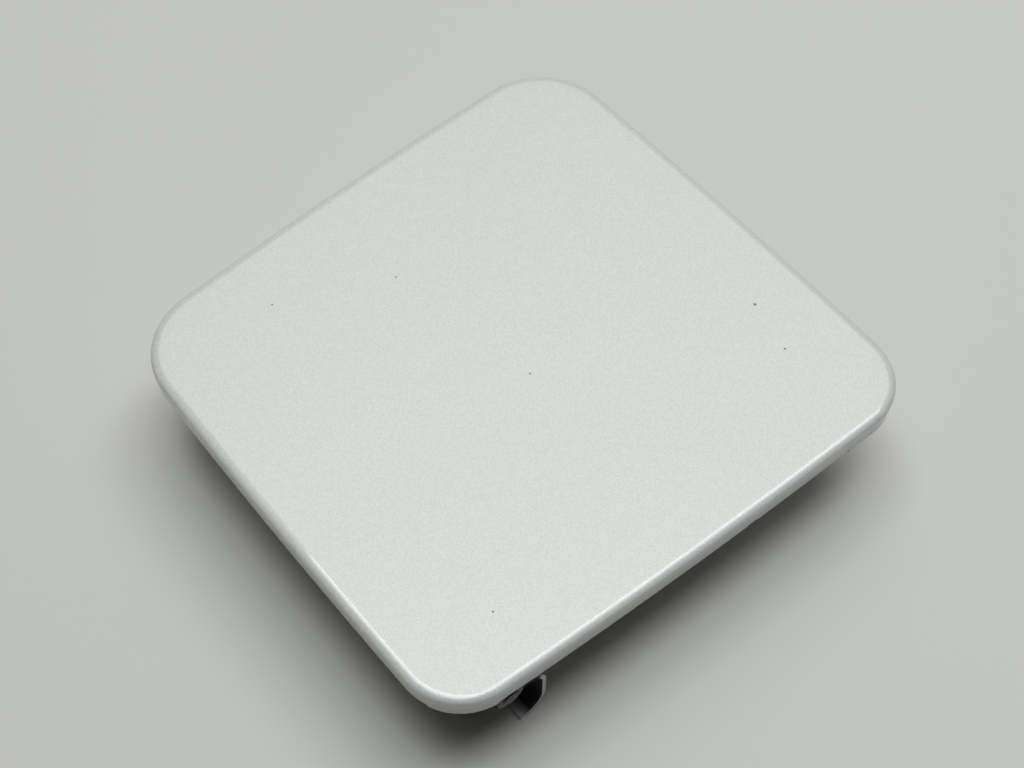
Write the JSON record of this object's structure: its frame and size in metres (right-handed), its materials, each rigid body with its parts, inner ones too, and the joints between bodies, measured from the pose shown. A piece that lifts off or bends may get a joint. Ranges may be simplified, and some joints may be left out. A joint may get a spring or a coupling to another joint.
{
  "type": "fuel filler flap",
  "caption": "Painted steel fuel filler flap with rounded corners and a turned-down edge, on a hinge bracket with C-shaped necks and leaf springs, and a striker for the lock.",
  "frame": {"origin": "on the underside of the bracket's base, under the middle of the flap", "axes": "+X from the hinge side to the free side, +Y along the hinge pin, +Z out of the painted face"},
  "size_m": [0.166, 0.1617, 0.04],
  "materials": {
    "body_paint": "pearl-white body paint under clear coat",
    "black_plastic": "moulded, satin",
    "phosphated_steel": "phosphated, oiled",
    "spring_steel": "blued strip",
    "zinc": "zinc plated",
    "black_rubber": "moulded, dull"
  },
  "bodies": {
    "bracket": {"hinge_bracket": "body_paint", "bush_low": "black_plastic", "bush_high": "black_plastic", "leaf_low": "spring_steel", "leaf_high": "spring_steel", "leaf_rivets": "zinc"},
    "flap": {"outer_panel": "body_paint", "inner_panel": "body_paint", "lug_low": "body_paint", "lug_high": "body_paint", "hinge_pin": "phosphated_steel", "pin_clip": "phosphated_steel", "striker": "zinc", "striker_rivets": "zinc", "bumper_low": "black_rubber", "bumper_high": "black_rubber"}
  },
  "joints": [
    {"name": "flap_hinge", "type": "hinge", "parent": "bracket", "child": "flap", "pos_m": [-0.062, 0, 0.02748], "axis": [0, -1, 0], "range_deg": [0, 95], "deforming": ["leaf_low", "leaf_high"]}
  ]
}
